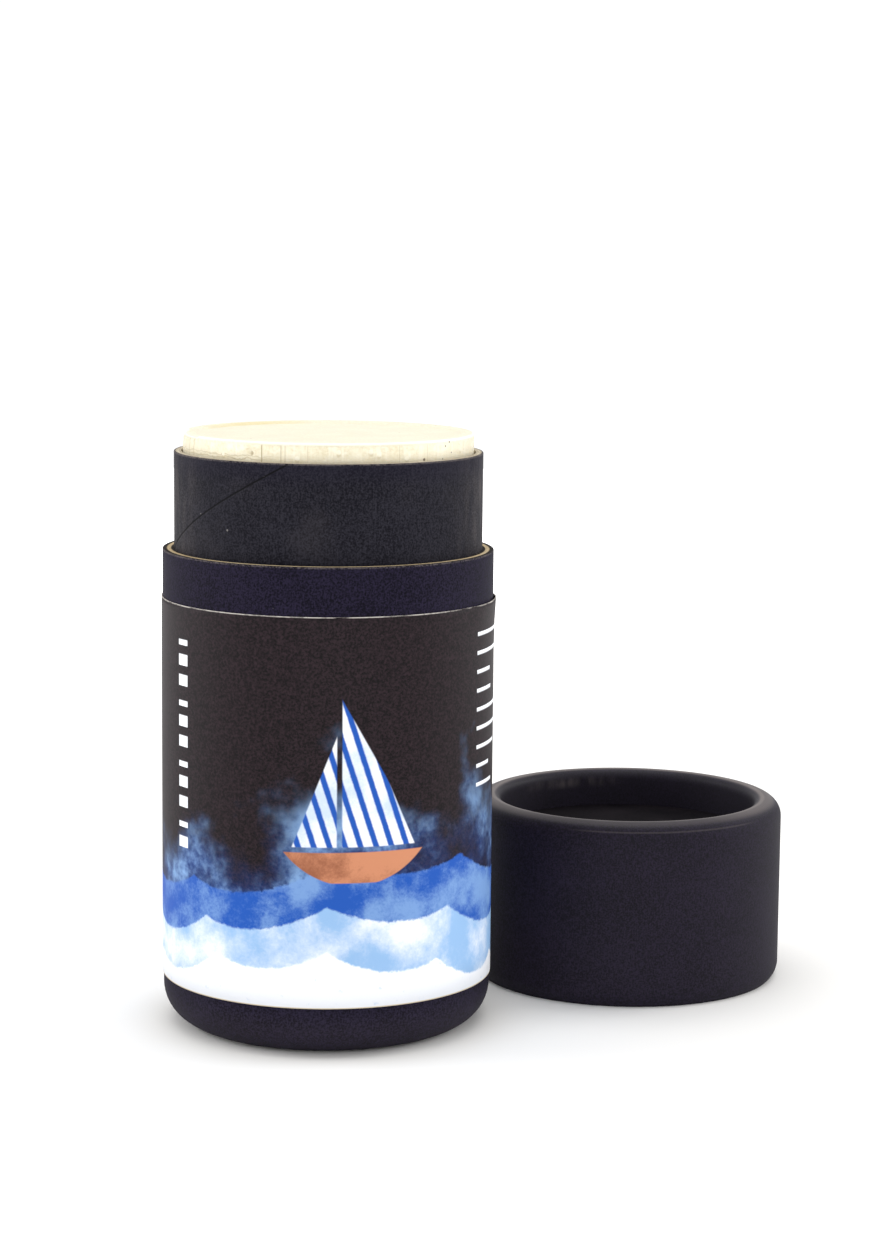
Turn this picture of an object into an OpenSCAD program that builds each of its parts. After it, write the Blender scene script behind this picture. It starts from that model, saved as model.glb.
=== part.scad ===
// Makeup stick: a cast balm in a push-up paper tube, with its cap taken off and stood beside it.
// The table is z = 0. The origin is the middle of the ground that tube and cap cover together.

/* [Outer tube] */
// Outside diameter of the tube and of the cap
tube_d = 44; // [38:0.5:56]
// Height of the outer tube, from the table to its mouth
tube_h = 64; // [48:0.5:100]
// Thickness of the outer tube's kraft board
board_t = 1.35; // [0.8:0.05:1.6]
// Thickness of the black paper laid round the boards
ply_t = 0.15; // [0.1:0.01:0.25]

/* [Foot of the outer tube] */
// Outside radius of the tube's lower edge, where the wall turns inwards
foot_r = 5.3; // [2.5:0.1:6.5]
// Width of the flat ring that the tube stands on
foot_flat = 0.6; // [0.2:0.1:2]
// Outside radius of the turn back upwards, inside the foot
foot_roll_r = 2; // [1.9:0.1:2.6]
// Height of the turned-in edge's end above the table
foot_edge_h = 5.6; // [3:0.1:8]

/* [Neck] */
// Height of the neck above the outer tube's mouth
neck_rise = 12.9; // [8:0.1:18]
// Thickness of the neck's kraft board
neck_board_t = 0.74; // [0.5:0.02:1.2]
// Thickness of the charcoal paper laid round the neck, down to the outer tube's mouth
neck_ply_t = 0.23; // [0.21:0.01:0.3]
// Radial clearance between the neck's paper and the outer tube's bore
neck_fit = 0.03; // [0.01:0.01:0.1]

/* [Push disc] */
// Thickness of the board disc under the balm
disc_t = 2; // [1:0.1:4]
// Radial running clearance between the push disc and the neck's bore
disc_fit = 0.08; // [0.03:0.01:0.1]
// Gap left between the push disc and the foot's edge when the disc is fully down
disc_seat = 0.1; // [0.05:0.05:0.5]

/* [Balm] */
// Radial clearance between the balm and the neck's bore
balm_fit = 0.3; // [0.2:0.05:0.6]
// Depth of the balm's rim below the neck's edge when the stick is fully down
balm_fill_gap = 1.5; // [0.5:0.1:5]
// Height that the stick is pushed up from there
balm_raise = 4.1; // [1:0.1:12]
// Radius of the balm's top edge
balm_edge_r = 0.9; // [0.4:0.1:2]
// Width of the raised rim round the balm's top
balm_rim_w = 1.6; // [1:0.1:3]
// Depth of the hollow that the balm set with
balm_hollow = 0.8; // [0.3:0.1:2]

/* [Cap] */
// Height of the cap
cap_h = 25.75; // [19:0.25:40]
// Radial clearance between the cap's bore and the neck
cap_fit = 0.08; // [0.05:0.01:0.15]
// Outside radius of the cap's rim, where the wall turns inwards
cap_corner_r = 2.5; // [1.6:0.1:3.5]
// Outside radius of the turn back down, inside the rim
cap_roll_r = 1.5; // [1.5:0.1:2.6]
// Outside radius of the cap's lower edge, at its mouth
cap_edge_r = 3; // [1.6:0.1:3.4]
// Height that the lower edge's round is cut off at, so that the cap stands on a flat ring
cap_edge_cut = 0.75; // [0.5:0.05:0.9]
// Depth of the end disc below the top of the rolled rim
cap_recess = 5.25; // [3:0.25:6]
// Thickness of the cap's end disc
cap_disc_t = 1.25; // [0.75:0.25:2.5]
// How far the end disc's edge presses into the cap's board
cap_disc_bite = 0.25; // [0.1:0.05:0.5]

/* [Cap on the table] */
// Clear gap between the tube and the cap beside it
stand_gap = 5.6; // [2:0.1:30]
// Direction from the tube to the cap, from the front plane backwards, in degrees
stand_deg = 30; // [0:1:90]

/* [Label] */
// Thickness of the label's paper
label_t = 0.12; // [0.08:0.01:0.2]
// Adhesive film between the label and the tube
label_film_t = 0.03; // [0.02:0.01:0.06]
// Bare wall between the foot's turn and the label
label_low = 1.55; // [0.5:0.05:6]
// Bare wall between the label and the tube's mouth
label_high = 6.3; // [2:0.1:12]
// Bare strip at the back, between the label's two ends
label_split = 4; // [1:0.5:12]

/* [Label print] */
// Thickness of each printed layer
ink_t = 0.08; // [0.05:0.01:0.1]
// Mean height of the far waves above the label's lower edge
far_crest = 17.5; // [12:0.5:24]
// Mean height of the middle waves above the label's lower edge
mid_crest = 11.5; // [8:0.5:16]
// Mean height of the near waves above the label's lower edge
near_crest = 5.5; // [3:0.5:7.5]
// Rise and fall of the sea's swell round the label
swell = 2; // [0:0.1:2.5]
// Depth of the hollow between two wave crests
wave_dip = 2.2; // [0.8:0.1:3]
// Waves round the label, far, middle and near
far_count = 7; // [6:1:9]
mid_count = 8; // [6:1:10]
near_count = 9; // [6:1:11]
// Direction of the boat, from the front to the right, in degrees
boat_deg = 4; // [-40:1:60]
// Height of the boat's deck above the label's lower edge
boat_deck = 20.5; // [18:0.5:28]
// Depth of the boat's hull
hull_h = 4; // [2:0.5:6]
// Gap between the deck and the sails, and between each sail and the mast's line
sail_gap = 0.7; // [0.3:0.1:1.5]
// Height of the mainsail
sail_h = 19; // [8:0.5:24]
// Width of the mainsail's foot
sail_w = 9.5; // [5:0.5:12]
// Distance between two sail stripes
stripe_pitch = 1.9; // [1.2:0.1:4]
// Width of a sail stripe
stripe_w = 0.75; // [0.3:0.05:1]
// Direction of the column of bars, from the front to the right, in degrees
bars_deg = -58; // [-80:1:-45]
// Number of bars in the column
bars_n = 11; // [3:1:16]
// Width of a bar
bar_w = 2.2; // [1:0.1:3]
// Part of each bar's share of the column that is inked
bar_share = 0.55; // [0.3:0.05:0.8]
// Direction of the block of thin rules, from the front to the right, in degrees
rules_deg = 76; // [66:1:90]
// Number of rules in the block
rules_n = 9; // [3:1:12]
// Distance between two rules
rule_pitch = 2.5; // [1.5:0.1:2.6]
// Height of a rule's line
rule_t = 0.5; // [0.3:0.05:0.8]
// Length of the longest rule
rule_w = 11; // [5:0.5:14]

/* [Hidden] */
$fn = 96;

tube_r = tube_d / 2;
body_wall = board_t + ply_t;
body_bore_r = tube_r - body_wall;

neck_out_r = body_bore_r - neck_fit;
neck_r = neck_out_r - neck_ply_t;
neck_bore_r = neck_r - neck_board_t;
neck_top = tube_h + neck_rise;
neck_low = foot_r;

disc_r = neck_bore_r - disc_fit;
disc_down_z = max(foot_edge_h, neck_low) + disc_seat;
disc_z = disc_down_z + balm_raise;
balm_r = neck_bore_r - balm_fit;
balm_z = disc_z + disc_t;
balm_h = neck_top - balm_fill_gap - disc_down_z - disc_t;

cap_bore_r = neck_out_r + cap_fit;
cap_wall = tube_r - cap_bore_r;
cap_disc_r = cap_bore_r + cap_disc_bite;
cap_disc_z = cap_h - cap_recess - cap_disc_t;

// Places of the tube and the cap on the table
stand_away = tube_d + stand_gap;
stand_x = stand_away * cos(stand_deg);
stand_y = stand_away * sin(stand_deg);

label_z = foot_r + label_low;
label_h = tube_h - label_high - label_z;
label_in_r = tube_r + label_film_t;
label_r = label_in_r + label_t;
label_half_deg = 180 - label_split / 2 / tube_r * 180 / PI;
print_half_deg = label_half_deg - 1;
ink_reach = label_r + 6 * ink_t;

// Bare label under and over the column of bars, and over the block of rules
column_low = 19;
column_high = 2.5;
rules_high = 3.5;

// Turn of the swell round the label in each band of waves, in degrees
far_turn = 40;
mid_turn = 70;
near_turn = 100;

paper_black = [0.10, 0.10, 0.14];
neck_grey = [0.16, 0.16, 0.17];
kraft = [0.72, 0.56, 0.38];
label_ground = [0.15, 0.11, 0.11];
balm_cream = [0.96, 0.94, 0.82];
print_white = [0.93, 0.95, 0.98];
pale_blue = [0.58, 0.75, 0.93];
cobalt = [0.16, 0.38, 0.78];
warm_tan = [0.80, 0.52, 0.38];

module at_tube() {
    translate([-stand_x / 2, -stand_y / 2, 0]) children();
}

module at_cap() {
    translate([stand_x / 2, stand_y / 2, 0]) children();
}

// One quarter of a ring round (x, z), in the quadrant that the signs point to
module quarter_ring(x, z, r_out, r_in, sx, sz) {
    translate([x, z]) intersection() {
        difference() {
            circle(r = r_out);
            if (r_in > 0) circle(r = r_in);
        }
        translate([sx < 0 ? -r_out : 0, sz < 0 ? -r_out : 0]) square(r_out);
    }
}

// Section of a tube wall whose lower edge is rolled inwards and back up.
// The slice between the depths a and b below the outer surface is drawn.
module rolled_section(edge_r, flat, roll_r, edge_h, height, a, b) {
    corner_x = tube_r - edge_r;
    roll_x = corner_x - flat;
    translate([tube_r - b, edge_r]) square([b - a, height - edge_r]);
    quarter_ring(corner_x, edge_r, edge_r - a, edge_r - b, 1, -1);
    if (flat > 0) translate([roll_x, a]) square([flat, b - a]);
    quarter_ring(roll_x, roll_r, roll_r - a, roll_r - b, -1, -1);
    translate([roll_x - roll_r + a, roll_r]) square([b - a, edge_h - roll_r]);
}

module body_section(a, b) {
    rolled_section(foot_r, foot_flat, foot_roll_r, foot_edge_h, tube_h, a, b);
}

// The cap stands mouth down, so its rolled rim is on top. Its lower edge is rounded on the outside,
// and the paper ends there, on the flat ring that the cap stands on.
module cap_section(a, b) {
    edge_z = cap_edge_r - cap_edge_cut;
    translate([0, cap_h]) mirror([0, 1])
        rolled_section(cap_corner_r, 0, cap_roll_r, cap_recess, cap_h - edge_z, a, b);
    intersection() {
        translate([tube_r - cap_edge_r, edge_z]) difference() {
            circle(r = cap_edge_r - a);
            if (b < cap_wall) circle(r = cap_edge_r - b);
        }
        translate([cap_bore_r, 0]) square([cap_edge_r, edge_z]);
    }
}

module body_tube() {
    color(kraft) at_tube() rotate_extrude() body_section(ply_t, body_wall);
}

module body_wrap() {
    color(paper_black) at_tube() rotate_extrude() body_section(0, ply_t);
}

module neck_tube() {
    color(kraft) at_tube() rotate_extrude()
        translate([neck_bore_r, neck_low]) square([neck_board_t, neck_top - neck_low]);
}

module neck_wrap() {
    color(neck_grey) at_tube() rotate_extrude()
        translate([neck_r, tube_h]) square([neck_ply_t, neck_rise]);
}

// A sleeve round the outer tube that is open at the back
module sleeve(r_in, thick, z, height, half_deg) {
    rotate_extrude(angle = 2 * half_deg, start = -90 - half_deg)
        translate([r_in, z]) square([thick, height]);
}

module label() {
    color(label_ground) at_tube() sleeve(label_in_r, label_t, label_z, label_h, label_half_deg);
}

// Prints a flat outline on the label, in the given direction and layer.
// In the outline x runs to the right and y up, from the label's lower edge.
module printed(layer, deg) {
    at_tube() intersection() {
        sleeve(label_r + layer * ink_t, ink_t, label_z, label_h, print_half_deg);
        rotate([90, 0, deg]) linear_extrude(height = ink_reach)
            translate([0, label_z]) children();
    }
}

// A band of waves from the label's lower edge upwards. Round hollows are cut out of its top, and
// two hollows meet in each pointed crest. The crests rise and fall with the swell round the label.
module wave_band(layer, crest, count, turn) {
    step = 360 / count;
    half_w = label_r * sin(step / 2);
    hollow_r = (half_w * half_w + wave_dip * wave_dip) / (2 * wave_dip);
    at_tube() difference() {
        sleeve(label_r + layer * ink_t, ink_t, label_z, crest + swell + wave_dip, print_half_deg);
        for (i = [0 : count - 1]) {
            deg = (i + 0.5) * step;
            hollow_z = label_z + crest + swell * sin(2 * deg + turn) + hollow_r - wave_dip;
            translate([0, 0, hollow_z]) rotate([90, 0, deg]) cylinder(r = hollow_r, h = ink_reach);
        }
    }
}

module print_far_waves() {
    color(cobalt) wave_band(0, far_crest, far_count, far_turn);
}

module print_mid_waves() {
    color(pale_blue) wave_band(2, mid_crest, mid_count, mid_turn);
}

module print_near_waves() {
    color(print_white) wave_band(3, near_crest, near_count, near_turn);
}

// The hull is the slice of a circle under the deck
module hull_outline() {
    hull_r = sail_w * 1.2;
    translate([sail_w * 0.2, boat_deck]) intersection() {
        translate([-hull_r, -hull_h]) square([2 * hull_r, hull_h]);
        translate([0, hull_r - hull_h * 1.1]) circle(r = hull_r);
    }
}

// Mainsail to the right of the mast and jib to its left, both over the deck
module sails_outline() {
    translate([sail_gap / 2, boat_deck + sail_gap])
        polygon([[0, 0], [sail_w, 0], [sail_w * 0.62, sail_h * 0.45], [0, sail_h]]);
    translate([-sail_gap / 2, boat_deck + sail_gap])
        polygon([[0, 0], [-sail_w * 0.6, 0], [0, sail_h * 0.75]]);
}

module print_hull() {
    color(warm_tan) printed(1, boat_deg) hull_outline();
}

module print_sails() {
    color(print_white) printed(1, boat_deg) sails_outline();
}

module print_stripes() {
    reach = sail_h + sail_w;
    color(cobalt) printed(2, boat_deg) intersection() {
        sails_outline();
        translate([0, boat_deck]) rotate(18) for (x = [-sail_w : stripe_pitch : reach])
            translate([x, -reach]) square([stripe_w, 2 * reach]);
    }
}

// A column of plain bars of two lengths
module print_bars() {
    share = (label_h - column_low - column_high) / bars_n;
    color(print_white) printed(1, bars_deg) for (i = [0 : bars_n - 1])
        translate([-bar_w / 2, column_low + i * share])
            square([bar_w, share * bar_share * (i % 3 == 1 ? 0.5 : 1)]);
}

// A block of thin rules, ragged on the right
module print_rules() {
    color(print_white) printed(1, rules_deg) for (i = [0 : rules_n - 1])
        translate([-rule_w / 2, label_h - rules_high - rule_t - i * rule_pitch])
            square([rule_w * (0.7 + 0.3 * cos(i * 75)), rule_t]);
}

module push_disc() {
    color(kraft) at_tube() translate([0, 0, disc_z]) cylinder(r = disc_r, h = disc_t);
}

// The balm's top has a shallow hollow, where it sank as it set. It crept up the bore there,
// so a thin rim stands round the hollow, round on the outside and fading out on the inside.
module balm_section() {
    hollow_x = balm_r - balm_rim_w;
    crown_w = balm_rim_w - balm_edge_r;
    difference() {
        union() {
            square([balm_r, balm_h - balm_edge_r]);
            square([balm_r - balm_edge_r, balm_h]);
            translate([balm_r - balm_edge_r, balm_h - balm_edge_r]) circle(r = balm_edge_r);
        }
        translate([-1, balm_h - balm_hollow]) square([hollow_x + 1, balm_hollow + 1]);
        translate([hollow_x, balm_h]) circle(r = min(crown_w, balm_hollow));
    }
}

module stick() {
    color(balm_cream) at_tube() translate([0, 0, balm_z]) rotate_extrude() balm_section();
}

module cap_tube() {
    color(kraft) at_cap() rotate_extrude() difference() {
        cap_section(ply_t, cap_wall);
        translate([0, cap_disc_z]) square([cap_disc_r, cap_disc_t]);
    }
}

module cap_wrap() {
    color(paper_black) at_cap() rotate_extrude() cap_section(0, ply_t);
}

module cap_disc() {
    color(paper_black) at_cap() translate([0, 0, cap_disc_z]) cylinder(r = cap_disc_r, h = cap_disc_t);
}

body_tube();
body_wrap();
neck_tube();
neck_wrap();
label();
print_far_waves();
print_mid_waves();
print_near_waves();
print_hull();
print_sails();
print_stripes();
print_bars();
print_rules();
push_disc();
stick();
cap_tube();
cap_wrap();
cap_disc();
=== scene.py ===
import math
import bpy
from mathutils import Matrix, Vector


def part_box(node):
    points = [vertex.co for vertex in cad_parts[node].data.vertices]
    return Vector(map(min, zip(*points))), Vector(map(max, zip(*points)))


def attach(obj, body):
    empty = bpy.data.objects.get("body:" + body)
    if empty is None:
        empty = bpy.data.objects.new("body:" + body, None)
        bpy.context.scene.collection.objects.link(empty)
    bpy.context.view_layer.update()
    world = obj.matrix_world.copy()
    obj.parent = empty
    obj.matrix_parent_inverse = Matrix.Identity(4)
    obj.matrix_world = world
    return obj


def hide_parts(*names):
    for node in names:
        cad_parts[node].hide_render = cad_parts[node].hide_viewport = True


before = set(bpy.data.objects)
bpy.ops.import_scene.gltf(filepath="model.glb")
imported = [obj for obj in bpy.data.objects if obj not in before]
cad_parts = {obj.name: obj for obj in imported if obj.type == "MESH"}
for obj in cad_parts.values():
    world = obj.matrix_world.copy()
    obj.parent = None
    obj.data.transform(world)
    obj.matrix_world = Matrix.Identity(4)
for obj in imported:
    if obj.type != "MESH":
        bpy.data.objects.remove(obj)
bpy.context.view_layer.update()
mm = 0.001
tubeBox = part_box("body_wrap")
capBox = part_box("cap_wrap")
tubeAxis = Vector(((tubeBox[0].x + tubeBox[1].x) / 2, (tubeBox[0].y + tubeBox[1].y) / 2, 0))
capAxis = Vector(((capBox[0].x + capBox[1].x) / 2, (capBox[0].y + capBox[1].y) / 2, 0))
print("frame loaded:", len(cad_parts), "nodes")


def tone(red, green, blue):  # a colour on the 0 to 255 scale, as light
    shares = (c / 255 for c in (red, green, blue))
    return tuple(((c + 0.055) / 1.055) ** 2.4 if c > 0.04 else c / 12.92 for c in shares) + (1,)


# shader sums written as Python
class Signal:
    def __init__(self, finish, socket):
        self.finish = finish
        self.socket = socket

    def math(self, operation, *others):
        return self.finish.add("Math", {"operation": operation}, dict(enumerate((self, *others))))

    def __add__(self, other):
        return self.math("ADD", other)

    def __sub__(self, other):
        return self.math("SUBTRACT", other)

    def __rsub__(self, other):
        return (self * -1).math("ADD", other)

    def __mul__(self, other):
        return self.math("MULTIPLY", other)

    def __truediv__(self, other):
        return self.math("DIVIDE", other)

    def __lt__(self, other):
        return self.math("LESS_THAN", other)

    def __gt__(self, other):
        return self.math("GREATER_THAN", other)

    def __mod__(self, other):
        return self.math("FLOORED_MODULO", other)

    def __abs__(self):
        return self.math("ABSOLUTE")

    __radd__ = __add__
    __rmul__ = __mul__


class Finish:  # one material, with its shader and the ways to feed it
    def __init__(self, name, axis=(0, 0, 0), **constants):
        self.material = bpy.data.materials.new(name)
        self.material.use_nodes = True
        self.tree = self.material.node_tree
        self.shader = self.tree.nodes["Principled BSDF"]
        for socket, value in constants.items():
            self.shader.inputs[socket.replace("_", " ")].default_value = value
        # millimetres from the axis of the piece
        self.place = self.add("Mapping", {}, {
            "Vector": self.add("TexCoord", out="Object"),
            "Scale": (1 / mm, 1 / mm, 1 / mm), "Location": [-c / mm for c in axis]}, out="Vector")
        self.x, self.y, self.z = (self.add("SeparateXYZ", {}, {0: self.place}, out=i) for i in range(3))
        self.around = self.x.math("ARCTAN2", self.y * -1)  # angle from the front to the right
        self.out = (self.x * self.x + self.y * self.y).math("SQRT")  # distance from the axis

    def add(self, kind, settings=None, inputs=None, out=0):
        node = self.tree.nodes.new("ShaderNode" + kind)
        for name, value in (settings or {}).items():
            setattr(node, name, value)
        for key, value in (inputs or {}).items():
            if isinstance(value, Signal):
                self.tree.links.new(value.socket, node.inputs[key])
            else:
                node.inputs[key].default_value = value
        return Signal(self, node.outputs[out])

    def mix(self, share, low, high):  # two colours
        return self.add("Mix", {"data_type": "RGBA"}, {0: share, 6: low, 7: high}, out=2)

    def wrapped(self, radius, across, up):  # the place unrolled round the axis, scaled
        return self.add("CombineXYZ", {}, {
            0: self.around * (radius * across), 1: self.z * up, 2: self.out * across})

    def noise(self, scale, detail=3, vector=None, rough=0.5):
        return self.add("TexNoise", {"noise_dimensions": "3D"}, {
            "Vector": vector or self.place, "Scale": scale, "Detail": detail, "Roughness": rough})

    def ramp(self, value, low, high):  # 0 below low, 1 over high, or the reverse
        return self.add("MapRange", {"interpolation_type": "SMOOTHSTEP"}, {
            "Value": value, "From Min": low, "From Max": high})

    def line(self, value, middle, width):  # 1 on a line, fading out on both sides
        return self.ramp(abs(value - middle), width, width * 0.3)

    def awayFrom(self, spot):  # distance from a place, in millimetres
        return self.add("VectorMath", {"operation": "DISTANCE"}, {0: self.place, 1: spot}, out="Value")

    def feed(self, socket, value):
        self.tree.links.new(value.socket, self.shader.inputs[socket])

    def relief(self, height, strength, depth):  # height in shares of depth, in millimetres
        self.feed("Normal", self.add("Bump", {}, {
            "Height": height, "Strength": strength, "Distance": depth * mm}))


# modelling helpers
def clearAll():
    if bpy.context.object and bpy.context.object.mode != "OBJECT":
        bpy.ops.object.mode_set(mode="OBJECT")
    bpy.ops.object.select_all(action="DESELECT")


def arc(x, z, radius, start, end, steps):  # points round (x, z), angles in degrees
    turns = (math.radians(start + (end - start) * i / steps) for i in range(steps + 1))
    return [(x + radius * math.cos(t), z + radius * math.sin(t)) for t in turns]


def rows(radius, low, high, count):  # points straight up or down a wall
    return [(radius, low + (high - low) * i / count) for i in range(count + 1)]


def around(degrees, out, z):  # a place in millimetres from the tube's axis, 0 degrees to the front
    turn = math.radians(degrees)
    return (math.sin(turn) * out, -math.cos(turn) * out, z)


def bearing(co):  # degrees round the tube from the front to the right
    return math.degrees(math.atan2(co.x - tubeAxis.x, tubeAxis.y - co.y))


def reach(co):  # millimetres from the tube's axis
    return (co - tubeAxis).xy.length / mm


def spunPiece(name, axis, outline, steps, fromDeg=90, turnDeg=360):
    # the outline is drawn vertex by vertex as (distance from the axis, height), then spun
    clearAll()
    turn = math.radians(fromDeg)
    side = Vector((math.sin(turn), -math.cos(turn), 0))
    spots = [axis + side * (r * mm) + Vector((0, 0, z * mm)) for r, z in outline]
    bpy.ops.mesh.primitive_plane_add(size=mm, location=spots[0])
    piece = bpy.context.object
    piece.name = piece.data.name = name
    bpy.ops.object.transform_apply(location=True, rotation=True, scale=True)
    bpy.ops.object.mode_set(mode="EDIT")
    bpy.ops.mesh.select_mode(type="VERT")
    bpy.ops.mesh.merge(type="CENTER")
    for here, there in zip(spots, spots[1:]):
        bpy.ops.mesh.extrude_vertices_move(TRANSFORM_OT_translate={"value": there - here})
    bpy.ops.mesh.select_all(action="SELECT")
    bpy.ops.mesh.remove_doubles(threshold=1e-7)
    bpy.ops.mesh.spin(steps=steps, angle=math.radians(turnDeg), center=axis, axis=(0, 0, 1))
    bpy.ops.mesh.select_all(action="SELECT")
    bpy.ops.mesh.remove_doubles(threshold=1e-7)
    bpy.ops.mesh.normals_make_consistent(inside=False)
    bpy.ops.object.mode_set(mode="OBJECT")
    bpy.ops.object.shade_smooth_by_angle(angle=math.radians(40))
    return piece


def pick(piece, test):  # selects the vertices that pass, and goes to edit mode
    bpy.ops.object.mode_set(mode="EDIT")
    bpy.ops.mesh.select_mode(type="VERT")
    bpy.ops.mesh.select_all(action="DESELECT")
    bpy.ops.object.mode_set(mode="OBJECT")
    for v in piece.data.vertices:
        v.select = test(v.co)
    bpy.ops.object.mode_set(mode="EDIT")


def finishPiece(piece, body, slot, finishes, *nodes):
    clearAll()
    piece.data.materials.clear()
    for f in finishes:
        piece.data.materials.append(f.material)
    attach(piece, body)
    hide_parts(*nodes)
    print("made", piece.name, len(piece.data.polygons), "faces")


def coat(node, finish):
    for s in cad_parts[node].material_slots:
        s.material = finish.material


# camera, light and floor
studio = {
    "cameraAt": (-0.021477, -0.414693, 0.111527), "pan": 2.2417, "tilt": -8.2031, "roll": 0.5642,
    "lens": 87.458, "floorRadius": 0.8, "floorTone": tone(250, 249, 247),
    "roomLight": 0.78, "roomSeen": 1.05,  # brightness as a light, and to the camera
    "fadeFrom": 0.2, "fadeTo": 0.45,  # distance at which the floor turns plain white
    "aim": (0, 0, 0.04),
    # place, size and power of each soft light
    "lights": {"leftSoftbox": ((-0.7, 0.1, 0.3), 0.45, 2.2),
               "rightSoftbox": ((0.7, 0.16, 0.32), 0.45, 2.1),
               "topSoftbox": ((0.0, 0.1, 1.0), 0.9, 3.4),
               "frontSoftbox": ((0.1, -1.1, 0.4), 0.9, 3.2)},
}


def makeStudio():
    scene = bpy.context.scene
    scene.view_settings.view_transform = "Standard"
    pan, tilt, roll = (math.radians(studio[k]) for k in ("pan", "tilt", "roll"))
    ahead = Vector((math.sin(pan) * math.cos(tilt), math.cos(pan) * math.cos(tilt), math.sin(tilt)))
    sideways = Vector((math.cos(pan), -math.sin(pan), 0))
    upright = sideways.cross(ahead)
    right = math.cos(roll) * sideways + math.sin(roll) * upright
    upward = math.cos(roll) * upright - math.sin(roll) * sideways
    clearAll()
    bpy.ops.object.camera_add()
    camera = bpy.context.object
    camera.name = "photoCamera"
    turn = Matrix((right, upward, -ahead)).transposed().to_4x4()
    camera.matrix_world = Matrix.Translation(studio["cameraAt"]) @ turn
    camera.data.lens = studio["lens"]
    camera.data.clip_start = 0.01
    scene.camera = camera
    for name, (place, size, power) in studio["lights"].items():
        bpy.ops.object.light_add(type="AREA", location=place)
        light = bpy.context.object
        light.name = name
        light.data.size = size
        light.data.energy = power
        light.visible_camera = False
        light.rotation_euler = (Vector(place) - Vector(studio["aim"])).to_track_quat("Z", "Y").to_euler()
    bpy.ops.mesh.primitive_circle_add(vertices=96, radius=studio["floorRadius"], fill_type="NGON")
    floor = bpy.context.object
    floor.name = "paleFloor"
    pale = Finish("paleFloor", Roughness=0.7, Specular_IOR_Level=0.2)
    pale.shader.inputs["Base Color"].default_value = studio["floorTone"]
    pale.shader.inputs["Emission Strength"].default_value = 1
    fade = pale.ramp(pale.out, studio["fadeFrom"] / mm, studio["fadeTo"] / mm)
    pale.feed("Emission Color", pale.mix(fade, (0, 0, 0, 1), (1, 1, 1, 1)))
    floor.data.materials.append(pale.material)
    # the room is white to the camera and softer as a light
    world = bpy.data.worlds.new("studioRoom")
    scene.world = world
    world.use_nodes = True
    tree = world.node_tree
    back = tree.nodes["Background"]
    back.inputs[0].default_value = (1, 1, 1, 1)
    path = tree.nodes.new("ShaderNodeLightPath")
    strength = tree.nodes.new("ShaderNodeMapRange")
    strength.inputs["To Min"].default_value = studio["roomLight"]
    strength.inputs["To Max"].default_value = studio["roomSeen"]
    tree.links.new(path.outputs["Is Camera Ray"], strength.inputs["Value"])
    tree.links.new(strength.outputs[0], back.inputs["Strength"])
    print("made the studio")


makeStudio()

# finishes
paper = {
    "bodyDark": tone(8, 6, 18), "bodyLight": tone(35, 30, 50),
    "neckDark": tone(13, 12, 20), "neckLight": tone(41, 40, 48), "neckBlue": tone(26, 23, 40),
    "capDark": tone(5, 2, 14), "capLight": tone(31, 24, 42),
    # the recess tone below is painted shade inside the cap
    "recess": tone(8, 3, 14), "discDark": tone(7, 5, 9), "discLight": tone(24, 20, 24),
    # the worn tone below serves real wear, and also painted highlights, sheen and bounce light
    "wearAndPaintedLight": tone(116, 108, 106), "fleck": tone(126, 122, 120), "seamShade": tone(8, 8, 10),
    "kraft": tone(224, 206, 168), "kraftDark": tone(182, 156, 116), "shadedGap": tone(30, 24, 20), "glue": tone(34, 27, 24),
    "neckEdge": tone(206, 197, 178), "neckEdgeDark": tone(148, 136, 116),
    "tubeRadius": 22, "neckRadius": 20.5, "recessRadius": 18,
}


def paperFinish(name, axis, radius, dark, light, gloss=0.08):
    f = Finish(name, axis, Specular_IOR_Level=gloss)
    skin = f.wrapped(radius, 1, 1)
    cloud = f.noise(0.16, 4, skin)
    grain = f.noise(3.9, 5, skin, 0.75)
    fibre = f.noise(1, 2, f.wrapped(radius, 5, 1.2))
    shade = f.ramp(cloud * 0.1 + grain * 0.7 + fibre * 0.2, 0.42, 0.58)
    colour = f.mix(shade, dark, light)
    speck = f.ramp(f.noise(1.15, 1, skin), 0.84, 0.87)
    colour = f.mix(speck * 0.5, colour, paper["fleck"])
    f.grain, f.cloud, f.skin = grain, cloud, skin
    f.feed("Roughness", 0.55 + grain * 0.3)
    f.relief(grain * 0.7 + fibre * 0.5, 0.3, 0.05)
    return f, colour


def bodyPaper():
    f, colour = paperFinish("blackPaper", tubeAxis, paper["tubeRadius"], paper["bodyDark"], paper["bodyLight"])
    # rubbed at the mouth, and painted bounce light from the floor, lighter towards the foot
    wearAndPaintedLight = f.ramp(f.z, 63.72, 63.95) * f.ramp(f.grain + f.cloud * 0.4, 0.62, 0.78)
    floorBounceLight = f.ramp(f.z, 8, 3) * (0.3 + f.grain * 0.7) * f.ramp(f.out, 17, 20)
    colour = f.mix(floorBounceLight * 0.08, colour, paper["wearAndPaintedLight"])
    f.feed("Base Color", f.mix(wearAndPaintedLight * 0.5, colour, paper["wearAndPaintedLight"]))
    return f


neckSeam = {
    "fromDeg": -82, "riseForDeg": 0.19, "low": 64,  # the spiral seam climbs to the right
    # pale flecks: direction, height, radius
    "flecks": ((-39.1, 68, 0.17), (-53.4, 69.7, 0.1), (-23.5, 75.15, 0.1)),
}


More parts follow.
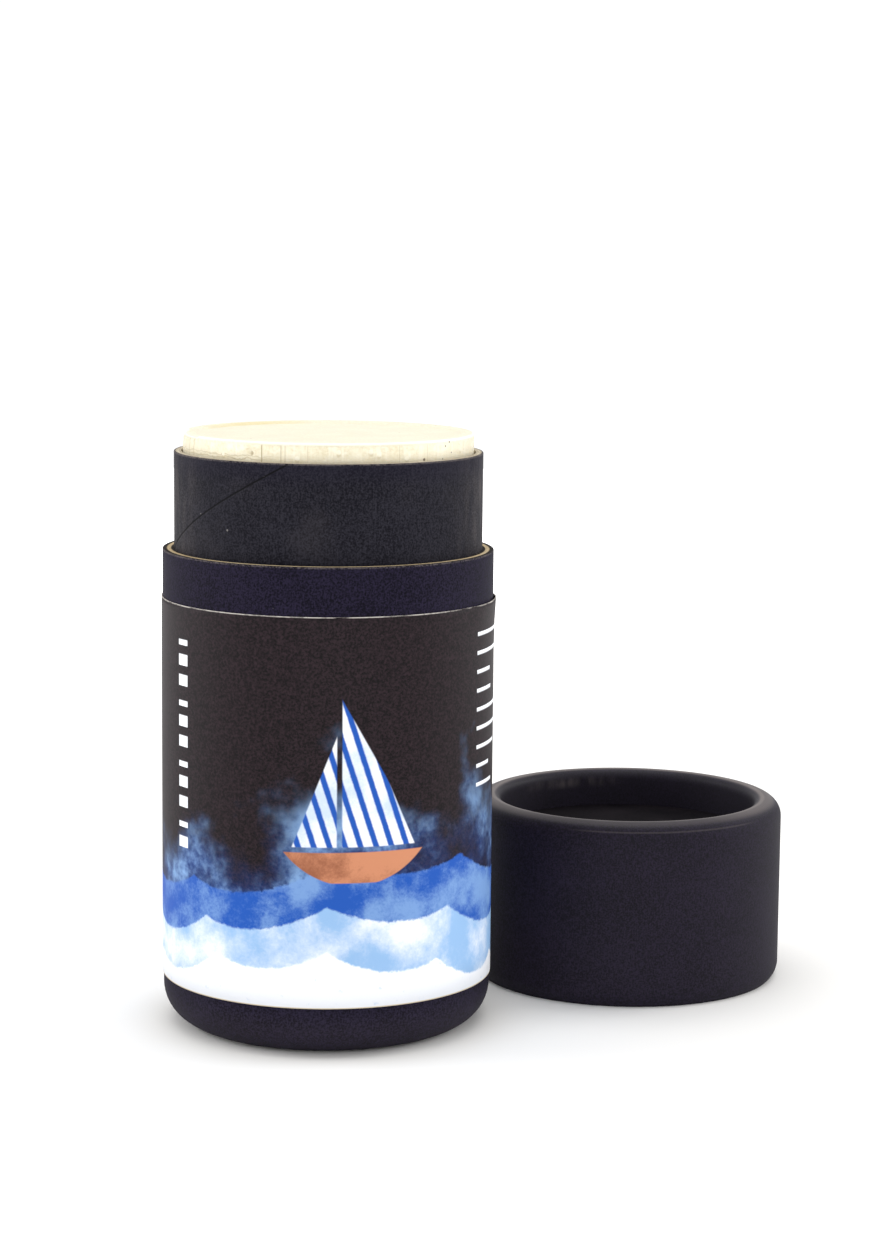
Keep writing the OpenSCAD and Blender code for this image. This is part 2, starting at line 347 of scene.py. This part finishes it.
def neckPaper():
    radius, wearAndPaintedLight = paper["neckRadius"], paper["wearAndPaintedLight"]
    f, colour = paperFinish("charcoalPaper", tubeAxis, radius, paper["neckDark"], paper["neckLight"])
    degrees = f.around * (180 / math.pi) - neckSeam["fromDeg"]
    away = f.z - neckSeam["low"] - degrees * neckSeam["riseForDeg"]
    waver = (f.noise(0.5, 2, f.skin) - 0.5) * 0.12
    # upright scuffs, with a painted sheen that lightens both sides
    scuffsAndSheen = f.noise(1, 5, f.wrapped(radius, 0.55, 0.16), 0.7)
    litSides = f.ramp(abs(f.around), 0.8, 1.4) * f.ramp(abs(f.around), 2.3, 1.7)
    colour = f.mix(f.ramp(scuffsAndSheen * 0.6 + f.grain * 0.4, 0.4, 0.7) * litSides * 0.36, colour, wearAndPaintedLight)
    # bluer towards the mouth, with a faint pale bloom lower down
    colour = f.mix(f.ramp(f.z + (f.cloud - 0.5) * 2, 73, 76.5) * 0.35, colour, paper["neckBlue"])
    bloom = f.ramp(f.noise(0.11, 3, f.skin), 0.5, 0.72) * f.ramp(f.z, 76, 73)
    colour = f.mix(bloom * 0.035, colour, wearAndPaintedLight)
    # painted shade along the spiral seam's groove
    colour = f.mix(f.line(away + waver, 0, 0.2) * 0.85, colour, paper["seamShade"])
    for direction, z, size in neckSeam["flecks"]:
        spot = f.awayFrom(around(direction, radius, z)) + (f.grain - 0.5) * 0.2
        colour = f.mix(f.ramp(spot, size, size * 0.5) * 0.8, colour, paper["fleck"])
    rubbedAndHighlight = f.ramp(f.z, 76.6, 76.85) * f.ramp(f.grain + f.cloud * 0.3, 0.5, 0.72)
    f.feed("Base Color", f.mix(rubbedAndHighlight * 0.5, colour, wearAndPaintedLight))
    return f


def capPaper():
    wearAndPaintedLight = paper["wearAndPaintedLight"]
    f, colour = paperFinish("capPaper", capAxis, paper["tubeRadius"], paper["capDark"], paper["capLight"], gloss=0.22)
    # a painted highlight line along the crease where the rim was turned in, on the front and to the right of it
    creaseShading = f.line(f.z, 24.6, 0.16) * f.ramp(f.out, 20.8, 21.2) * f.ramp(abs(f.around - 0.2), 0.75, 0.45)
    # the rim's crest gets a painted highlight and is smoother, and the recess gets painted shade
    rubbedAndHighlight = f.line(f.out, 19.3, 0.45) * f.ramp(f.z, 25.2, 25.6)
    top = f.ramp(f.z, 25.05, 25.65) * f.ramp(f.out, 18.6, 19.2)
    litSides = f.ramp(abs((f.around + 0.1).math("SINE")), 0.45, 0.95)
    colour = f.mix(f.ramp(f.out, 18.9, 18.3) * 0.45, colour, paper["recess"])
    # painted soft highlights in short upright streaks on the inner wall, at the back and to the left
    highlightStreaks = f.noise(1, 3, f.wrapped(paper["recessRadius"], 0.35, 0.1), 0.6)
    highlightStreaks = f.ramp(highlightStreaks, 0.3, 0.7) * f.ramp(abs(f.z - 24), 1.1, 0) * f.ramp(f.out, 18.9, 18.5)
    colour = f.mix(highlightStreaks * f.ramp((f.around + 2.74).math("COSINE"), 0.88, 0.98) * 0.3, colour, wearAndPaintedLight)
    colour = f.mix(creaseShading * 0.14, colour, wearAndPaintedLight)
    # painted highlights on the rim's top, stronger at the left and right
    colour = f.mix(top * (0.12 + f.cloud * 0.12 + litSides * 0.3), colour, wearAndPaintedLight)
    # painted highlight along the rim's crest
    f.feed("Base Color", f.mix(rubbedAndHighlight * (0.4 + f.cloud * 0.4), colour, wearAndPaintedLight))
    f.feed("Roughness", 0.64 + f.grain * 0.2 - f.ramp(f.z, 24.6, 25.4) * 0.28)
    return f


def kraftFinish(name, axis, light, dark, shadedGap=0):  # last argument: radius where a tube inside begins, where the gap gets painted shade
    f = Finish(name, axis, Roughness=0.85, Specular_IOR_Level=0.2)
    plies = f.noise(1, 2, f.add("CombineXYZ", {}, {0: f.out * 7, 1: f.around * 1.2, 2: f.z * 3}))
    grain = f.noise(2.5, 4, rough=0.7)
    streak = f.noise(1, 3, f.add("CombineXYZ", {}, {0: f.around * 16, 1: f.z * 0.7, 2: f.out * 2}))
    shade = f.ramp(plies * 0.45 + grain * 0.35 + streak * 0.2, 0.36, 0.64)
    colour = f.mix(shade, dark, light)
    if shadedGap:  # painted shade in the gap where the two tubes meet, and dark where the black paper is glued on outside
        colour = f.mix(f.ramp(f.out, shadedGap + 0.46, shadedGap + 0.28), colour, paper["shadedGap"])
        colour = f.mix(f.ramp(f.out, shadedGap + 0.8, shadedGap + 1), colour, paper["glue"])
    f.feed("Base Color", colour)
    f.relief(grain + plies * 0.8, 0.4, 0.08)
    return f


bodyFinish, neckFinish, capFinish = bodyPaper(), neckPaper(), capPaper()
coat("body_tube", kraftFinish("kraftBoard", tubeAxis, paper["kraft"], paper["kraftDark"], paper["neckRadius"]))
coat("push_disc", kraftFinish("discBoard", tubeAxis, paper["kraft"], paper["kraftDark"]))
coat("cap_tube", kraftFinish("capBoard", capAxis, paper["kraft"], paper["kraftDark"]))
coat("neck_tube", kraftFinish("neckBoard", tubeAxis, paper["neckEdge"], paper["neckEdgeDark"]))


def discFinish():
    f = Finish("capDiscPaper", capAxis, Specular_IOR_Level=0.06)
    grain, cloud = f.noise(2.6, 4, rough=0.65), f.noise(0.14, 3)
    f.feed("Base Color", f.mix(f.ramp(grain * 0.6 + cloud * 0.4, 0.4, 0.62), paper["discDark"], paper["discLight"]))
    f.feed("Roughness", 0.7 + grain * 0.25)
    f.relief(grain, 0.3, 0.06)
    return f


coat("cap_disc", discFinish())
print("made the paper and board finishes")

# black paper round the outer tube
bodySizes = {"radius": 22, "height": 64, "paper": 0.15, "foot": 5.3, "flat": 0.6, "roll": 2, "edge": 5.6,
             "steps": 160}


def makeTubeSkin():
    b = bodySizes
    r, t, foot, roll, top = b["radius"], b["paper"], b["foot"], b["roll"], b["height"]
    rollX = r - foot - b["flat"]
    outline = [(r - t, top), (r - 0.05, top), (r, top - 0.06)] + rows(r, top - 1, foot, 8)
    outline += arc(r - foot, foot, foot, -7, -90, 12)
    outline += arc(rollX, roll, roll, -90, -180, 8) + [(rollX - roll, b["edge"]), (rollX - roll + t, b["edge"])]
    outline += arc(rollX, roll, roll - t, -180, -90, 8) + arc(r - foot, foot, foot - t, -90, 0, 12)
    outline += [(r - t, top)]
    piece = spunPiece("tubeSkin", tubeAxis, outline, b["steps"])
    finishPiece(piece, "tube", "black_paper", [bodyFinish], "body_wrap")


makeTubeSkin()

# charcoal paper round the neck, wound in a spiral
neckSizes = {"radius": 20.47, "paper": 0.23, "low": 64, "top": 76.9, "rows": 20, "steps": 180,
             "seamWidth": 0.1, "seamDepth": 0.07}


def makeNeckSkin():
    n = neckSizes
    r, t, low, top = n["radius"], n["paper"], n["low"], n["top"]
    outline = rows(r, low, top - 0.1, n["rows"]) + [(r - 0.03, top - 0.03), (r - 0.08, top), (r - t, top)]
    outline += rows(r - t, top - 0.1, low, n["rows"]) + [(r, low)]
    piece = spunPiece("neckSkin", tubeAxis, outline, n["steps"])
    # each ring is turned a little further, so that the mesh follows the spiral
    for row in range(1, n["rows"] + 1):
        z = low + (top - 0.1 - low) * row / n["rows"]
        last = row == n["rows"]
        pick(piece, lambda co: abs(co.z / mm - z) < 0.05 or (last and co.z / mm > z))
        bpy.ops.transform.rotate(value=-math.radians((z - low) / neckSeam["riseForDeg"]), orient_axis="Z",
                                 center_override=tubeAxis)

    def onSeam(co):
        z = co.z / mm
        if reach(co) < r - 0.02 or z < low + 0.02 or z > top - 0.09:
            return False
        return abs(bearing(co) - neckSeam["fromDeg"] - (z - low) / neckSeam["riseForDeg"]) < 0.3

    pick(piece, onSeam)
    bpy.ops.mesh.bevel(offset=n["seamWidth"] * mm, segments=2, affect="EDGES")
    pick(piece, onSeam)
    inwards = 1 - n["seamDepth"] / r
    bpy.ops.transform.resize(value=(inwards, inwards, 1), center_override=tubeAxis)
    finishPiece(piece, "tube", "charcoal_paper", [neckFinish], "neck_wrap")


makeNeckSkin()

# balm
balm = {
    "radius": 19.2, "low": 11.8, "top": 79.5, "edge": 0.4, "rim": 1.5, "hollow": 0.35, "steps": 240,
    "cream": tone(237, 231, 208), "warm": tone(224, 214, 184), "pale": tone(243, 239, 222), "speck": tone(80, 54, 36),
    "topTone": tone(227, 222, 200), "edgeHighlightTone": tone(248, 244, 230), "rimShade": tone(222, 200, 130), "rimShadeDeg": 140,
    "dull": tone(202, 192, 166), "balmShade": tone(176, 160, 124),
    # bands of the side that stand out or in: from and to, in degrees from the front to the right, and how far
    "flutes": ((-86, -27.3, 0.07), (-18.9, -18.1, -0.05), (-17.1, -16.3, -0.04), (-70, -69, -0.06),
               (-66, -65, -0.05), (6, 7, -0.02), (27, 29, 0.02), (58, 59, -0.03)),
    # pits and lumps of the side: direction, height, how far out
    "marks": ((-30.8, 77.9, -0.5), (3.7, 78.3, 0.26), (16, 78.35, 0.24), (19.2, 78, 0.2), (-12, 77.5, 0.15),
              (-44, 77.6, 0.18), (31, 77.4, 0.16), (62, 78, 0.14)),
    # painted shade in fine grooves down the side: direction, half their width, how dark
    "grooveShades": ((-26.3, 0.12, 0.9), (-18.4, 0.11, 0.5), (-16.8, 0.09, 0.45), (-65.5, 0.14, 0.9), (-70.1, 0.12, 0.8),
               (27.8, 0.08, 0.35), (41, 0.08, 0.3), (-8, 0.07, 0.25)),
    "creases": ((77.55, 0.5), (77.2, 0.6)),  # height, how dark
    # brown specks: direction, distance from the axis, height, radius
    "specks": ((39.3, 19.2, 77.1, 0.2), (53.8, 19.2, 79.1, 0.13), (51.3, 19.2, 78.6, 0.12), (48.9, 19.0, 79.3, 0.1),
               (55.3, 19.2, 77.7, 0.1), (49.6, 19.2, 77.0, 0.1), (70.7, 17.2, 79.2, 0.12), (-59, 16, 79.2, 0.09),
               (-50, 13.2, 79.15, 0.11), (105.5, 9.7, 79.15, 0.1), (128, 18.4, 79.5, 0.12), (-30.8, 19.1, 77.9, 0.16)),
}


def balmFinish():
    b = balm
    f = Finish("castBalm", tubeAxis, Specular_IOR_Level=0.35, Subsurface_Weight=0.15,
               Subsurface_Scale=0.002, Subsurface_Radius=(1.0, 0.85, 0.6))
    cloud, grain = f.noise(0.22, 4), f.noise(2.4, 5, rough=0.75)
    streak = f.noise(1, 3, f.wrapped(b["radius"], 1.7, 0.045))
    fine = f.noise(1, 2, f.wrapped(b["radius"], 6, 0.1))
    lumps = f.noise(0.9, 2, f.wrapped(b["radius"], 1, 1.3))
    side = f.ramp(f.z, b["top"] - 0.3, b["top"] - 0.6)
    colour = f.mix(f.ramp(cloud * 0.3 + grain * 0.7, 0.42, 0.64), b["cream"], b["warm"])
    colour = f.mix(f.ramp(streak, 0.52, 0.7) * side * 0.6, colour, b["pale"])
    colour = f.mix(f.ramp(fine, 0.6, 0.75) * side * 0.45, colour, b["warm"])
    colour = f.mix(f.ramp(lumps, 0.5, 0.72) * side * 0.6, colour, b["pale"])
    # the side is duller and darker towards the foot of what shows
    darkerBelow = f.ramp(f.z + (grain - 0.5) * 1.6, 78.2, 77) * side
    colour = f.mix(darkerBelow * 0.5, colour, b["dull"])
    # painted shade in the fine grooves down the side
    for degrees, width, dark in b["grooveShades"]:
        away = abs(f.around - math.radians(degrees)) * b["radius"]
        colour = f.mix(f.ramp(away + (grain - 0.5) * 0.06, width, width * 0.4) * side * dark, colour, b["balmShade"])
    # painted shade along two creases near the foot, on the left
    for z, dark in b["creases"]:
        creaseShading = f.line(f.z + (lumps - 0.5) * 0.9, z, 0.1) * f.ramp(f.around, -0.25, -0.6)
        colour = f.mix(creaseShading * side * dark, colour, b["balmShade"])
    for degrees, z, step in b["marks"]:  # painted highlights on the lumps, painted shade below them, and painted shade in a pit
        top, foot = (f.awayFrom(around(degrees, b["radius"] + step / 2, z - low)) for low in (0, 0.35))
        if step > 0:
            colour = f.mix(f.ramp(foot, 0.42, 0.12) * 0.32, colour, b["balmShade"])
        colour = f.mix(f.ramp(top, 0.4, 0.2) * 0.7, colour, b["pale"] if step > 0 else b["balmShade"])
    # painted shade: duller and darker away from the front
    colour = f.mix(f.ramp(abs(f.around), 0.7, 1.3) * side * 0.4, colour, b["dull"])
    # the top is mottled, with a painted highlight line along its rounded edge
    edgeHighlight = f.line(f.out - f.z * 0.6, b["radius"] - 0.1 - (b["top"] - 0.12) * 0.6, 0.3) * (1 - side)
    colour = f.mix((1 - side) * f.ramp(grain * 0.75 + cloud * 0.25, 0.4, 0.6) * 0.9, colour, b["topTone"])
    colour = f.mix(edgeHighlight * 0.9, colour, b["edgeHighlightTone"])
    # painted yellowish shade on the inner slope of the rim, at the back on the left
    rimShade = f.ramp((f.around + math.radians(b["rimShadeDeg"])).math("COSINE"), 0.8, 1) * f.line(f.out, 17.6, 0.9)
    colour = f.mix(rimShade * (1 - side) * (0.3 + cloud * 0.7) * 0.7, colour, b["rimShade"])
    for degrees, out, z, size in b["specks"]:
        away = f.awayFrom(around(degrees, out, z)) + (grain - 0.5) * 0.12
        colour = f.mix(f.ramp(away, size * 1.3, size * 0.6) * 0.85, colour, b["speck"])
    f.feed("Base Color", colour)
    f.feed("Roughness", 0.36 + grain * 0.2 + side * 0.1)
    f.relief(grain * 0.6 + (streak + fine * 0.6 + lumps * 1.2) * side + cloud * 0.8, 0.6, 0.16)
    return f


def makeBalm():
    b = balm
    r, top, edge, rim = b["radius"], b["top"], b["edge"], b["rim"]
    floorZ = top - b["hollow"]
    outline = [(0, b["low"]), (r - 0.4, b["low"]), (r, b["low"] + 0.4)] + rows(r, 18, top - 6, 9)
    outline += rows(r, top - 5, top - edge, 12)[:-1] + arc(r - edge, top - edge, edge, 0, 90, 5)
    outline += [(r - rim + 0.4, top - 0.03), (r - rim, top - 0.12), (r - rim - 0.4, floorZ + 0.04)]
    outline += [(x, floorZ) for x in (16.5, 15, 12, 9, 6, 3, 0)]
    piece = spunPiece("balmStick", tubeAxis, outline, b["steps"])

    for start, end, step in b["flutes"]:
        pick(piece, lambda co: start <= bearing(co) <= end and reach(co) > r - 0.2)
        share = 1 + step / r
        bpy.ops.transform.resize(value=(share, share, 1), center_override=tubeAxis)
    for degrees, z, step in b["marks"]:
        spot = Vector(around(degrees, r, z)) * mm + tubeAxis
        nearest = min(piece.data.vertices, key=lambda v: (v.co - spot).length).co.copy()
        pick(piece, lambda co: (co - nearest).length < 1e-6)
        push = Vector(around(degrees, step, 0)) * mm
        bpy.ops.transform.translate(value=push, use_proportional_edit=True, proportional_size=0.9 * mm)
    # the left shoulder leans in, where the stick was wiped against its tube
    for z, share in ((top - 1.4, 0.9965), (top - 0.7, 0.991), (top - edge, 0.984)):
        pick(piece, lambda co: -100 < bearing(co) < -62 and co.z / mm > z and reach(co) > r - 1)
        bpy.ops.transform.resize(value=(share, share, 1), center_override=tubeAxis)
    finishPiece(piece, "pusher", "balm", [balmFinish()], "stick")


makeBalm()

# printed label
label = {
    "radius": 22.03, "paper": 0.12, "low": 6.85, "high": 57.7, "halfDeg": 174.8, "steps": 176, "lift": 0.22,
    "ground": tone(43, 30, 36), "groundDark": tone(4, 0, 3), "white": tone(243, 246, 252),
    "paleBlue": tone(146, 184, 226), "cobalt": tone(30, 84, 176), "tan": tone(202, 136, 102),
    "tanDark": tone(150, 92, 66), "cutEdge": tone(228, 222, 214), "cutEdgeDark": tone(150, 142, 136),
    "lowEdge": tone(214, 190, 140),
    # bands of waves: mean height, number round the label, turn of the swell, ink
    "waves": ((17.5, 7, 40), (11.5, 8, 70), (5.5, 9, 100)), "swell": 2, "dip": 2.2,
    "boatDeg": 4, "deck": 20.5, "hull": 4, "sailHeight": 19, "sailWidth": 9.5, "sailGap": 0.7,
    "stripePitch": 1.9, "stripe": 0.75, "stripeTilt": 18,
    "barsDeg": -58, "bars": 11, "barWidth": 2.2, "barShare": 0.55, "barsLow": 19, "barsHigh": 2.5,
    "rulesDeg": 76, "rules": 9, "rulePitch": 2.5, "ruleHeight": 0.5, "ruleWidth": 11, "rulesHigh": 3.5,
}


def labelFinish():
    p = label
    f = Finish("printedLabel", tubeAxis, Specular_IOR_Level=0.16)
    radius = p["radius"] + p["paper"]
    skin = f.wrapped(radius, 1, 1)
    grain, coarse = f.noise(2.9, 5, skin, 0.8), f.noise(0.9, 3, skin, 0.6)
    blot = f.noise(0.13, 5, skin, 0.6)
    up = f.z - p["low"]
    ragged = (grain - 0.5) * 0.5 + (coarse - 0.5) * 0.7
    height = p["high"] - p["low"]

    def across(degrees):  # distance to the right of a direction, as a flat picture is laid on
        return (f.around - math.radians(degrees)).math("SINE") * radius

    def facing(degrees):
        return (f.around - math.radians(degrees)).math("COSINE") > 0

    def inside(points, x, y, soft=0.12):  # mask of a convex outline, points to the left turn
        mask = None
        for (ax, ay), (bx, by) in zip(points, points[1:] + points[:1]):
            length = math.hypot(bx - ax, by - ay)
            away = ((y - ay) * (bx - ax) - (x - ax) * (by - ay)) / length
            edge = f.ramp(away, -soft, soft)
            mask = edge if mask is None else mask * edge
        return mask

    def waveTop(crest, count, turn):
        step = 2 * math.pi / count
        half = radius * math.sin(step / 2)
        hollow = (half * half + p["dip"] ** 2) / (2 * p["dip"])
        middle = ((f.around / step).math("FLOOR") + 0.5) * step
        side = (f.around - middle).math("SINE") * radius
        rise = (f.around * 2 + math.radians(turn)).math("SINE") * p["swell"]
        return rise + (crest + hollow - p["dip"]) - (hollow * hollow - side * side).math("SQRT")

    colour = f.mix(f.ramp(grain * 0.85 + coarse * 0.15, 0.4, 0.62), p["groundDark"], p["ground"])
    far, middle, near = (waveTop(*w) for w in p["waves"])
    # a bank of mist lies over the far waves
    bank = f.noise(0.075, 4, skin, 0.55)
    mist = f.ramp(up - far - (bank - 0.5) * 44 + ragged * 2, 11, -4)
    patch = f.ramp(bank * 0.5 + blot * 0.3 + coarse * 0.2, 0.42, 0.6)
    colour = f.mix(mist * (0.35 + patch * 0.6), colour, f.mix(patch * 0.8, p["cobalt"], p["paleBlue"]))
    wet = f.ramp(blot * 0.8 + grain * 0.2, 0.42, 0.62)
    colour = f.mix(f.ramp(far - up + ragged, -0.2, 0.2), colour, f.mix(wet * 0.6, p["cobalt"], p["paleBlue"]))
    # the boat: a round hull and two sails with slanted stripes
    x, y = across(p["boatDeg"]), up - p["deck"]
    w, h, gap = p["sailWidth"], p["sailHeight"], p["sailGap"]
    hullR = w * 1.2
    hullX = x - w * 0.2
    deep = y - (hullR - p["hull"] * 1.1)
    hull = f.ramp((hullX * hullX + deep * deep).math("SQRT"), hullR + 0.1, hullR - 0.1)
    hull = hull * f.ramp(y, 0.1, -0.1) * f.ramp(y, -p["hull"] - 0.1, -p["hull"] + 0.1) * facing(p["boatDeg"])
    colour = f.mix(hull, colour, f.mix(wet, p["tan"], p["tanDark"]))
    main = inside([(0, 0), (w, 0), (w * 0.62, h * 0.45), (0, h)], x - gap / 2, y - gap)
    jib = inside([(-w * 0.6, 0), (0, 0), (0, h * 0.75)], x + gap / 2, y - gap)
    sails = main.math("MAXIMUM", jib) * facing(p["boatDeg"])
    tilt = math.radians(p["stripeTilt"])
    stripes = f.ramp(abs((x * math.cos(tilt) + y * math.sin(tilt) + ragged * 0.2) % p["stripePitch"]
                         - p["stripePitch"] / 2), p["stripe"] / 2 + 0.12, p["stripe"] / 2 - 0.12)
    cloth = f.mix(stripes, f.mix(wet * 0.5, p["white"], p["paleBlue"]), p["cobalt"])
    colour = f.mix(sails, colour, cloth)
    # a column of white bars on the left, every third one short or long in turn
    share = (height - p["barsLow"] - p["barsHigh"]) / p["bars"]
    run = (up - p["barsLow"]) / share
    short = abs(run.math("FLOOR") % 3 - 1) < 0.5
    bars = f.ramp(run % 1 - (1 - short * 0.5) * p["barShare"], 0.03, -0.03) * (run > 0) * (run < p["bars"])
    bars = bars * f.ramp(abs(across(p["barsDeg"])), p["barWidth"] / 2 + 0.08, p["barWidth"] / 2 - 0.08)
    colour = f.mix(bars * facing(p["barsDeg"]), colour, p["white"])
    # a block of thin white rules of mixed lengths on the right
    count = (height - p["rulesHigh"] - up) / p["rulePitch"]
    length = ((count.math("FLOOR") * math.radians(75)).math("COSINE") * 0.3 + 0.7) * p["ruleWidth"]
    start = across(p["rulesDeg"]) + p["ruleWidth"] / 2
    rules = f.ramp(count % 1, p["ruleHeight"] / p["rulePitch"] + 0.04, p["ruleHeight"] / p["rulePitch"] - 0.04)
    rules = rules * (count > 0) * (count < p["rules"]) * f.ramp(start, -0.1, 0.1) * f.ramp(start - length, 0.1, -0.1)
    colour = f.mix(rules * facing(p["rulesDeg"]), colour, p["white"])
    foam = f.mix(f.ramp(blot * 0.6 + bank * 0.3 + grain * 0.1, 0.42, 0.66), p["paleBlue"], p["white"])
    colour = f.mix(f.ramp(middle - up + ragged, -0.2, 0.2), colour, foam)
    crest = f.mix(f.ramp(coarse, 0.62, 0.8) * 0.4, p["white"], p["paleBlue"])
    colour = f.mix(f.ramp(near - up + ragged, -0.2, 0.2), colour, crest)
    # the cut edges of the paper
    lifted = f.ramp(f.noise(0.35, 4, skin, 0.7), 0.36, 0.62)
    colour = f.mix(f.line(up, height, 0.17) * lifted * 0.75, colour, p["cutEdge"])
    colour = f.mix(f.line(up, 0, 0.2) * 0.7, colour, p["lowEdge"])
    f.feed("Base Color", colour)
    f.feed("Roughness", 0.48 + grain * 0.2)
    f.relief(grain, 0.25, 0.04)
    return f


def edgeFinish():
    f = Finish("labelCutEdge", tubeAxis, Roughness=0.8, Specular_IOR_Level=0.2)
    f.feed("Base Color", f.mix(f.ramp(f.noise(1.4, 3), 0.4, 0.6), label["cutEdgeDark"], label["cutEdge"]))
    return f


def makeLabel():
    p = label
    outline = rows(p["radius"], p["low"], p["high"] - 3, 12) + rows(p["radius"], p["high"] - 2.4, p["high"], 4)
    piece = spunPiece("labelSheet", tubeAxis, outline, p["steps"], -p["halfDeg"], 2 * p["halfDeg"])
    front = piece.data.polygons[0]
    if (front.center - tubeAxis).xy.dot(front.normal.xy) < 0:
        bpy.ops.object.mode_set(mode="EDIT")
        bpy.ops.mesh.select_all(action="SELECT")
        bpy.ops.mesh.flip_normals()
        bpy.ops.object.mode_set(mode="OBJECT")
    piece.data.materials.clear()
    wall = piece.modifiers.new("paper", "SOLIDIFY")
    wall.thickness = p["paper"] * mm
    wall.offset = 1
    wall.material_offset_rim = 1
    piece.data.materials.append(None)
    piece.data.materials.append(None)
    bpy.context.view_layer.objects.active = piece
    bpy.ops.object.modifier_apply(modifier="paper")
    # the top corner beside the thin rules has come loose a little
    pick(piece, lambda co: co.z / mm > p["high"] - 0.1 and 66 < bearing(co) < 88)
    lift = 1 + p["lift"] / p["radius"]
    bpy.ops.transform.resize(value=(lift, lift, 1), center_override=tubeAxis, use_proportional_edit=True,
                             proportional_size=5 * mm)
    bpy.ops.object.mode_set(mode="OBJECT")
    rims = [q.material_index for q in piece.data.polygons]
    finishPiece(piece, "tube", "label_paper", [labelFinish(), edgeFinish()], "label", "print_far_waves",
                "print_mid_waves", "print_near_waves", "print_hull", "print_sails", "print_stripes", "print_bars",
                "print_rules")
    piece.data.polygons.foreach_set("material_index", rims)


makeLabel()

# black paper round the cap
capSizes = {"radius": 22, "height": 25.75, "paper": 0.15, "corner": 2.5, "roll": 1.5, "recess": 5.25, "edge": 3,
            "edgeCut": 0.75, "steps": 160}


def makeCapSkin():
    c = capSizes
    r, t, top, corner, roll, edge = c["radius"], c["paper"], c["height"], c["corner"], c["roll"], c["edge"]
    recessX, recessZ = r - corner - roll, top - c["recess"]
    edgeZ = edge - c["edgeCut"]
    cut, cutInside = (math.degrees(math.asin(edgeZ / e)) for e in (edge, edge - t))
    outline = arc(r - edge, edgeZ, edge, -cut, 0, 10) + rows(r, 4, top - corner - 1, 5)
    outline += arc(r - corner, top - corner, corner, 0, 90, 12) + arc(r - corner, top - roll, roll, 90, 180, 10)[1:]
    outline += rows(recessX, top - roll - 1, recessZ, 3) + [(recessX + t, recessZ)]
    outline += arc(r - corner, top - roll, roll - t, 180, 90, 10)
    outline += arc(r - corner, top - corner, corner - t, 90, 0, 12)[1:]
    outline += arc(r - edge, edgeZ, edge - t, 0, -cutInside, 10) + [outline[0]]
    piece = spunPiece("capSkin", capAxis, outline, c["steps"])
    finishPiece(piece, "cap", "black_paper", [capFinish], "cap_wrap")


makeCapSkin()
